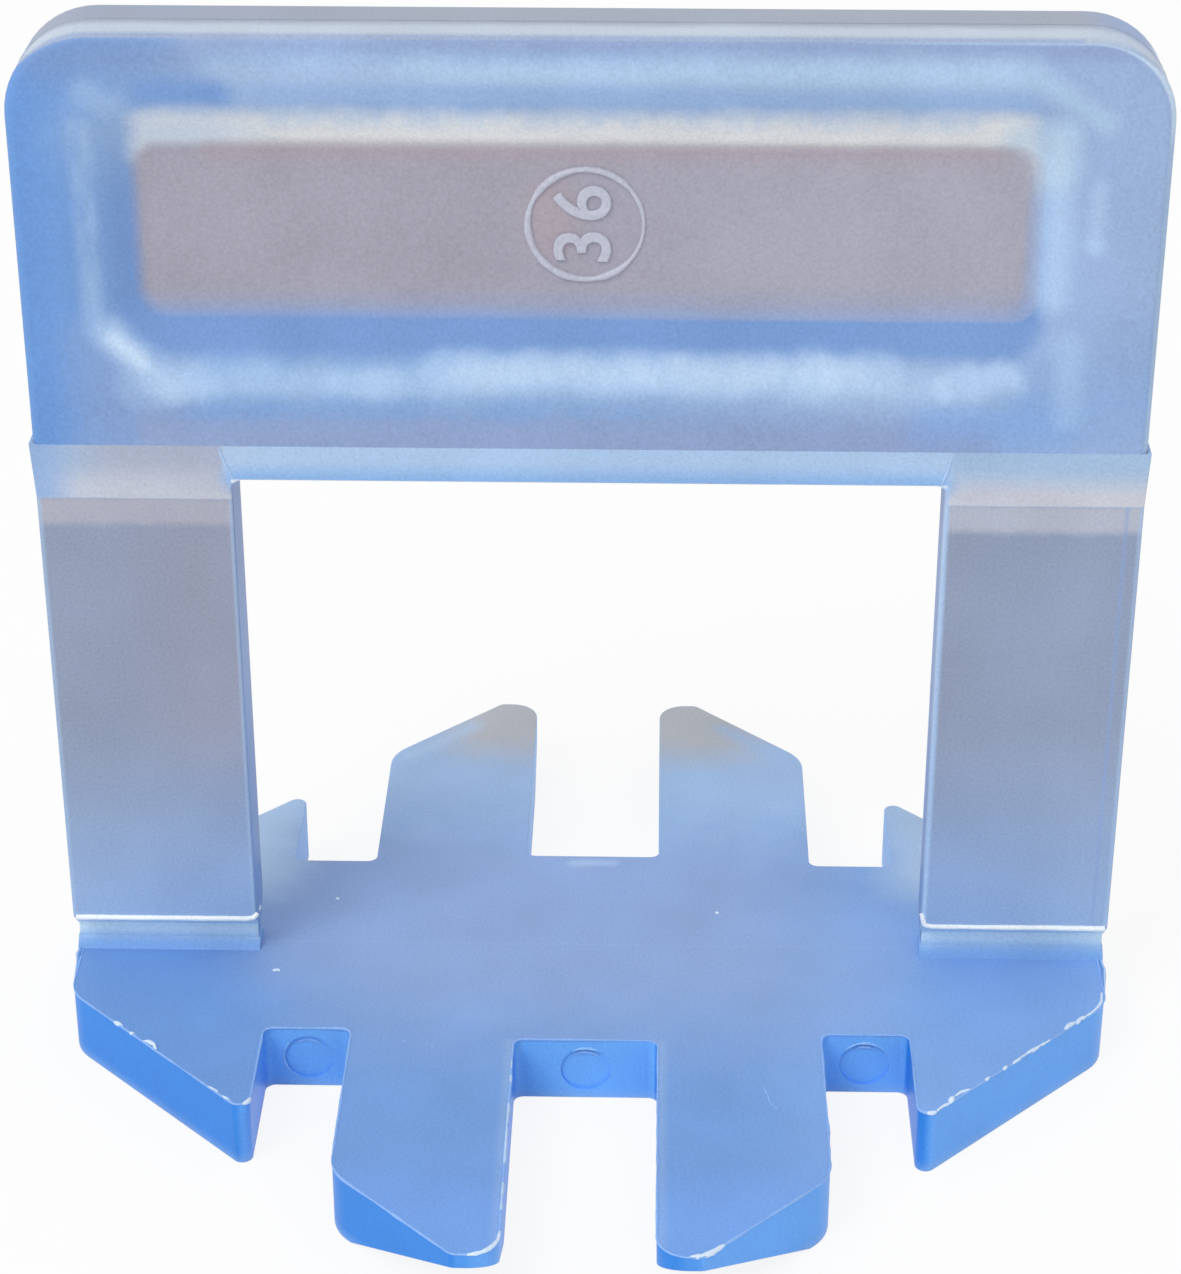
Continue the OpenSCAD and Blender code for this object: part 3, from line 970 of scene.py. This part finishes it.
# %% Thin line round the front of the base, a painted edge highlight
ARC_STEPS = 8
WING_SIDE = CUT_SUM - BASE_HALF
WING_TIP = CUT_SUM - WING_IN
FINGER_SIDE = CUT_SUM - FINGER_OUT
TIP_X = CUT_SUM - HALF_D
LEDGE = BASE_T - 0.01
RIGHT_CORNERS = [
    (FINGER_IN, -CENTRE_WALL, CORNER_R), (FINGER_IN, -HALF_D, TIP_R), (TIP_X, -HALF_D, CORNER_R),
    (FINGER_OUT, -FINGER_SIDE, SHOULDER_R), (FINGER_OUT, -SIDE_WALL, CORNER_R),
    (WING_IN, -SIDE_WALL, CORNER_R), (WING_IN, -WING_TIP, CORNER_R),
    (BASE_HALF, -WING_SIDE, SHOULDER_R), (BASE_HALF, 0.0, CORNER_R),
]
LEFT_CORNERS = [(-x, y, radius) for x, y, radius in reversed(RIGHT_CORNERS)]


def on_top(*places):
    """Run on the base's top from places across and along it."""
    return [(x, y, LEDGE) for x, y in places]


def corner_arc(before, corner, after, radius):
    """Places round a corner, along the arc that touches both of its sides."""
    back = (before - corner).normalized()
    onward = (after - corner).normalized()
    half = back.angle(onward) / 2
    centre = corner + (back + onward).normalized() * radius / math.sin(half)
    run = radius / math.tan(half)
    first = corner + back * run - centre
    last = corner + onward * run - centre
    spokes = [first.lerp(last, step / ARC_STEPS) for step in range(ARC_STEPS + 1)]
    return [centre + spoke.normalized() * radius for spoke in spokes]


def rounded_edge(corners):
    """Places along an edge through its corners; its two ends stay as they are."""
    places = [Vector(corner[:2]) for corner in corners]
    edge = [places[0]]
    for i in range(1, len(corners) - 1):
        edge += corner_arc(places[i - 1], places[i], places[i + 1], corners[i][2])
    return [*edge, places[-1]]


front_edge = on_top(*rounded_edge(LEFT_CORNERS + RIGHT_CORNERS))
# painted highlight along the base's front top edge
bead("edge_highlight_line", [front_edge], edge_blue, radius=0.04, swell=2.5, swell_size=0.9, wander=0.03, seed=4)

# %% White bits on the slanted edges
DIAGONAL = math.sqrt(0.5)
WING_POINT = ((BASE_HALF, WING_SIDE), (WING_IN, WING_TIP), (WING_IN, SIDE_WALL))
FINGER_POINT = ((FINGER_IN, CENTRE_WALL), (FINGER_IN, HALF_D), (TIP_X, HALF_D))


def wing_bit(side, *stations):
    """Run along a wing's slanted edge: distance from its point, then how far in and how far up."""
    return [
        (side * (WING_IN + (s - inward) * DIAGONAL), (s + inward) * DIAGONAL - WING_TIP, LEDGE + up)
        for s, inward, up in stations
    ]


def round_point(side, places, radius):
    """Run round a blunt corner of the base, given by the places before it, at it and after it."""
    before, corner, after = [Vector((side * x, -y)) for x, y in places]
    return on_top(*corner_arc(before, corner, after, radius))


left_bits = [
    wing_bit(-1, (7.3, 0, 0), (6.85, 0.05, 0)),
    wing_bit(-1, (6.4, 0, 0), (6.15, 0.04, 0)),
    wing_bit(-1, (5.7, 0, 0), (5.5, 0.1, 0.04), (5.2, 0.13, 0.05), (4.95, 0.02, 0.02)),
    wing_bit(-1, (2.1, 0, 0), (1.6, 0.05, 0)),
    wing_bit(-1, (1.4, 0, 0), (0.9, 0.03, 0)),
]
right_bits = [
    round_point(1, WING_POINT, CORNER_R)[:5],
    wing_bit(1, (0.85, 0, 0), (1.2, 0.03, 0.02), (1.5, 0, 0)),
    wing_bit(1, (1.9, 0.1, 0.03), (2.2, 0.12, 0.03), (2.6, 0.02, 0)),
    wing_bit(1, (3.3, 0, 0), (3.6, 0.04, 0)),
    wing_bit(1, (4.2, 0, 0), (4.5, 0.03, 0)),
    wing_bit(1, (4.7, 0, 0), (5.6, 0.03, 0), (6.7, 0, 0)),
    wing_bit(1, (8.6, 0.02, 0), (9.1, 0.04, 0), (9.5, 0.12, 0), (9.8, 0.25, 0), (10.2, 0.55, 0)),
]
blobs = [
    round_point(-1, WING_POINT, CORNER_R)[4:],
    wing_bit(1, (1.5, 0, 0), (1.65, 0.06, 0.02), (1.85, 0.12, 0.03)),
    wing_bit(1, (7.5, 0, 0), (7.75, 0.08, 0.02), (8.1, 0.06, 0.02)),
    wing_bit(1, (8.1, 0, 0), (8.4, 0.06, 0.02), (8.7, 0.02, 0)),
    on_top((3.45, -17.38), (3.85, -17.33), (4.15, -17.15), (4.55, -16.75)),
]
bead("wing_burrs", left_bits + right_bits, burr_white, radius=0.065, step=0.06, swell=1.8, swell_size=0.5,
     taper=0.6, seed=4)
bead("burr_blobs", blobs, burr_white, radius=0.09, step=0.06, swell=2.0, swell_size=0.4, taper=0.6, seed=5)

# %% Softer burrs on the left front finger
slot_runs = [
    on_top((-FINGER_IN, -6.2), (-FINGER_IN, -16.4)), on_top((-FINGER_IN, -14.6), (-FINGER_IN, -15.7)),
]
tip_run = on_top((-FINGER_IN, -16.2)) + round_point(-1, FINGER_POINT, TIP_R)
bead("slot_burrs", slot_runs, line_blue, radius=0.05, step=0.08, swell=2.5, swell_size=0.8, wander=0.06,
     taper=0.5, seed=9)
bead("finger_burrs", [tip_run], burr_white, radius=0.07, step=0.06, swell=2.0, swell_size=0.4, taper=0.6,
     seed=2)

# %% Flash on the sides of the base
FLASH_Z = BASE_T - 0.09
FLASH_OUT = 1.004
FLASH_UP = 0.06


def side_flash(side, *places):
    """Run of flash down one side of the base, just under its top."""
    return [(side * x, y, FLASH_Z) for x, y in places]


flashes = [
    side_flash(-1, (17.85, 1.0), (17.92, -0.2), (18.02, -1.0), (17.94, -1.5), (17.86, -2.5)),
    side_flash(1, (17.85, 1.0), (17.95, -0.35), (18.03, -1.2), (17.94, -2.0), (17.86, -2.6)),
]
flash_lines = [[(x * FLASH_OUT, y, z + FLASH_UP) for x, y, z in run] for run in flashes]
flash_blue = plain_plastic("flash_blue", BASE_BLUE)
bead("side_burrs", flashes, flash_blue, radius=0.1, step=0.1, swell=1.0, swell_size=0.8, taper=0.5, seed=12)
bead("side_lines", flash_lines, line_blue, radius=0.045, step=0.1, swell=2.0, swell_size=0.6, taper=0.6,
     seed=13)

# %% Loose specks and a scratch
specks = [
    on_top((-11.05, -1.96), (-10.95, -1.88), (-10.8, -1.92)), on_top((-9.25, 2.79), (-9.13, 2.72)),
    on_top((4.5, 2.12), (4.62, 2.08)), [(-WINDOW_HALF, -0.3, 3.84), (-WINDOW_HALF, -0.05, 3.86)],
]
faint_specks = [
    on_top((-6.3, -5.75), (-6.25, -5.79)), on_top((-6.2, -6.1), (-6.1, -6.15)),
    on_top((-5.2, -6.25), (-5.15, -6.4)),
]
scratch = on_top((5.95, -8.5), (6.08, -8.9), (6.15, -9.3), (6.4, -9.75))
bead("specks", specks, burr_white, radius=0.06, step=0.05, swell=1.0, swell_size=0.2, seed=3)
bead("faint_specks", faint_specks, edge_blue, radius=0.04, step=0.03, taper=0.5, seed=3)
bead("scratch", [scratch], edge_blue, radius=0.035, step=0.08, swell=2.0, swell_size=0.4, seed=6)

# %% Whitened creases at the break, with the painted highlight of the leg's lower edge
CREASE_Z = LEG_LOW - 0.03
CREASE_IN = 0.3
CREASE_OUT = 0.1
LEFT_HOOK = 0.18
RIGHT_HOOK = 0.45
HOOK_OUT = 0.02
HOOK_BACK = 0.9
BEND_IN = 0.08
BEND_UP = 0.06


def crease(side, face_y):
    """Run along the break of one leg."""
    inner = side * WINDOW_HALF
    outer = side * (HALF_W - CREASE_OUT)
    return [(inner + side * CREASE_IN, face_y, CREASE_Z), (outer, face_y, CREASE_Z)]


def hooked_crease(side, height):
    """Run along the break on the front, with a small hook up the leg's inner edge."""
    inner = side * WINDOW_HALF
    hook = [
        (inner - side * HOOK_OUT, -LEG_FACE * HOOK_BACK, CREASE_Z + height),
        (inner + side * BEND_IN, -LEG_FACE, CREASE_Z + BEND_UP),
    ]
    return hook + crease(side, -LEG_FACE)


# the white is partly whitened plastic and partly the painted highlight on the leg's lower edge
crease_runs = [
    hooked_crease(-1, LEFT_HOOK), hooked_crease(1, RIGHT_HOOK), crease(-1, LEG_FACE), crease(1, LEG_FACE),
]
bead("break_creases", crease_runs, crease_white, radius=0.1, step=0.1, swell=0.6, swell_size=1.5, wander=0.04,
     seed=5)


# %% Fine lines at the ends of the lintel
def on_slope(x, z):
    """Point on the front slope under the head."""
    out = (z - SLOPE_LOW) / (HEAD_LOW - SLOPE_LOW)
    return (x, -LEG_FACE - out * (HEAD_FACE - LEG_FACE), z)


lintel_ends = [
    [on_slope(-11.95, 22.3), on_slope(-11.8, 21.7), on_slope(-11.56, 21.05)],
    [on_slope(11.7, 22.2), on_slope(11.62, 21.7), on_slope(11.45, 21.1)],
]
bead("lintel_lines", lintel_ends, line_blue, radius=0.05, step=0.1, swell=1.5, swell_size=0.6, taper=0.6,
     seed=14)

# %% Parting line
SEAM_Y = 0.0
SEAM_LOW = LEG_LOW + 1.0


def seam_corner(side):
    """Points round one upper corner of the head, from its side to its top."""
    turns = [math.pi / 2 * step / ARC_STEPS for step in range(ARC_STEPS + 1)]
    x = HEAD_HALF - HEAD_R
    z = TOP - HEAD_R
    return [(side * (x + HEAD_R * math.cos(t)), SEAM_Y, z + HEAD_R * math.sin(t)) for t in turns]


def leg_seam(side):
    """Points up the outer side of one leg."""
    return [(side * HALF_W, SEAM_Y, SEAM_LOW), (side * HALF_W, SEAM_Y, HEAD_LOW)]


head_seam = [*seam_corner(-1), *reversed(seam_corner(1))]
seams = [leg_seam(-1), head_seam, leg_seam(1)]
seam_grey = plain_plastic("seam_grey", TOP_GREY)
bead("parting_line", seams, seam_grey, radius=0.02, step=0.3, swell=1.5, swell_size=2.0, seed=8)

# %% Ejector rings, painted as highlights on the marks' rims
RING_SPANS = [(135, 245), (60, 120), (25, 140)]
GLINT_SPAN = (45, 125)
GLINT_BACK = 0.09
GLINT_IN = 0.2
SIDEWAYS = 0.5


def arc(x, y, z, radius, start, end, steps=24):
    """Points of an upright arc that faces the front, from one angle to another in degrees."""
    turns = [math.radians(start + (end - start) * step / steps) for step in range(steps + 1)]
    return [(x + radius * math.cos(t), y, z + radius * math.sin(t)) for t in turns]


# painted highlights: pale arcs where the marks' rims catch the light, and crescent glints inside them
rings = [arc(x, y, BASE_T / 2, DIMPLE_R, *span) for (x, y), span in zip(DIMPLES, RING_SPANS)]
glints = [arc(x, y + GLINT_BACK, BASE_T / 2, DIMPLE_R - GLINT_IN, *GLINT_SPAN) for x, y in DIMPLES]
ring_highlight_blue = plain_plastic("ejector_highlight_blue", PAINTED_LIGHT_BLUE)
bead("ejector_ring_highlights", rings + glints, ring_highlight_blue, radius=0.045, step=0.06, swell=3.5, swell_size=0.5,
     taper=0.7, seed=11)
# painted light: the ejector marks' walls are painted bright, so that their shade doesn't show
moulding.data.materials.append(plain_plastic("dimple_painted_light", DIMPLE_LIGHT_BLUE))
for polygon in moulding.data.polygons:
    if on_dimple(polygon.center / MM) and abs(polygon.normal.y) < SIDEWAYS:
        polygon.material_index = len(moulding.data.materials) - 1

# %% [markdown]
# ## The raised mark
# Moulders number their cavities: a ring with a plain number in it stands on the pocket's floor. The ring is
# one more bead. The number starts as a text object, which is made a mesh and then laid on the floor, turned a
# quarter.

# %% Ring and number
MARK = Vector((-0.1, -FLOOR_FACE, 29.74))
RING_R = 1.83
RING_STEPS = 48
NUMBER = "36"
NUMBER_SIZE = 2.5
NUMBER_HEIGHT = 0.05
NUMBER_THINNER = -0.01
NUMBER_ROLL = 0.05
NUMBER_SPACING = 1.15
NUMBER_WELD = 0.0001
mark_grey = plain_plastic("raised_mark", MARK_GREY)
last_turn = 360 * (RING_STEPS - 1) / RING_STEPS
mark_circle = arc(*MARK, RING_R, 0, last_turn, steps=RING_STEPS - 1)
bead("mark_ring", [mark_circle], mark_grey, closed=True, radius=0.1, step=0.15, swell=3.0, swell_size=1.2,
     seed=7)


def number_mesh():
    """Closed mesh of a raised number, standing on the pocket's floor and read from the side."""
    curve = bpy.data.curves.new("number", "FONT")
    curve.body = NUMBER
    curve.size = NUMBER_SIZE * MM
    curve.extrude = NUMBER_HEIGHT * MM
    curve.offset = NUMBER_THINNER * MM
    curve.bevel_depth = NUMBER_ROLL * MM
    curve.bevel_resolution = 1
    curve.space_character = NUMBER_SPACING
    curve.align_x = "CENTER"
    curve.align_y = "CENTER"
    source = placed("number_text", curve)
    mesh = evaluated_mesh(source)
    bpy.data.objects.remove(source)
    bm = bmesh.new()
    bm.from_mesh(mesh)
    bmesh.ops.remove_doubles(bm, verts=bm.verts, dist=NUMBER_WELD * MM)
    bmesh.ops.recalc_face_normals(bm, faces=bm.faces)
    bm.to_mesh(mesh)
    bm.free()
    stand = Matrix.Rotation(math.radians(90), 4, "X")
    quarter = Matrix.Rotation(math.radians(-90), 4, "Y")
    mesh.transform(Matrix.Translation(MARK * MM) @ quarter @ stand)
    mesh.materials.clear()
    mesh.materials.append(mark_grey)
    return mesh


new_piece("mark_number", number_mesh())

# %% [markdown]
# ## Floor and light
# The studio is a pale floor under an even white sky, with one large soft lamp from the upper left to give the
# rounded edges something to shine with. The level is plain: a colour comes out about as it was written. The
# floor is partly its own white for the camera, and the rest of it takes the clip's shadow.

# %% Floor
FLOOR_SIZE = 2.0
FLOOR_WHITE = (0.93, 0.93, 0.93, 1.0)
FLOOR_ROUGH = 0.9
FLOOR_GLOW = 0.88
PURE_WHITE = (1.0, 1.0, 1.0, 1.0)
floor_mesh = bpy.data.meshes.new("studio_floor")
bm = bmesh.new()
bmesh.ops.create_grid(bm, x_segments=1, y_segments=1, size=FLOOR_SIZE / 2)
bm.to_mesh(floor_mesh)
bm.free()
floor = placed("studio_floor", floor_mesh)


def seen_directly(tree):
    """1 for the rays that should see the plain white of the studio, 0 for those that carry its light."""
    path = tree.nodes.new("ShaderNodeLightPath").outputs
    glossy = math_node(tree, "MAXIMUM", path["Is Camera Ray"], path["Is Glossy Ray"])
    return math_node(tree, "MAXIMUM", glossy, path["Is Transmission Ray"])


def make_floor_material():
    """Matt white that shows the camera mostly its own glow."""
    material = bpy.data.materials.new("pale_floor")
    material.use_nodes = True
    tree = material.node_tree
    shader = tree.nodes["Principled BSDF"]
    matt = {"Base Color": FLOOR_WHITE, "Roughness": FLOOR_ROUGH, "Specular IOR Level": 0.0}
    set_inputs(tree, shader, matt)
    glow = tree.nodes.new("ShaderNodeEmission")
    glow.inputs["Color"].default_value = PURE_WHITE
    share = math_node(tree, "MULTIPLY", seen_directly(tree), FLOOR_GLOW)
    mix = tree.nodes.new("ShaderNodeMixShader")
    set_inputs(tree, mix, {0: share, 1: shader.outputs[0], 2: glow.outputs[0]})
    tree.links.new(mix.outputs[0], tree.nodes["Material Output"].inputs["Surface"])
    return material


floor_mesh.materials.append(make_floor_material())
print("floor:", FLOOR_SIZE, "m wide")

# %% World and lamp
SKY_LEVEL = 0.72
LAMP_PLACE = Vector((-0.25, -0.30, 0.45))
LAMP_AIM = Vector((0.0, 0.0, 0.015))
LAMP_SIZE = 0.30
LAMP_WATTS = 1.25

world = bpy.data.worlds.new("studio_sky")
scene.world = world
world.use_nodes = True
sky_tree = world.node_tree
level = math_node(sky_tree, "MULTIPLY_ADD", seen_directly(sky_tree), 1.0 - SKY_LEVEL, SKY_LEVEL)
set_inputs(sky_tree, sky_tree.nodes["Background"], {"Color": PURE_WHITE, "Strength": level})

lamp_data = bpy.data.lights.new("key_lamp", "AREA")
lamp_data.shape = "DISK"
lamp_data.size = LAMP_SIZE
lamp_data.energy = LAMP_WATTS
lamp = placed("key_lamp", lamp_data)
lamp.location = LAMP_PLACE
lamp.rotation_euler = (LAMP_AIM - LAMP_PLACE).to_track_quat("-Z", "Y").to_euler()
scene.view_settings.view_transform = "Standard"
print("lamp and sky ready")
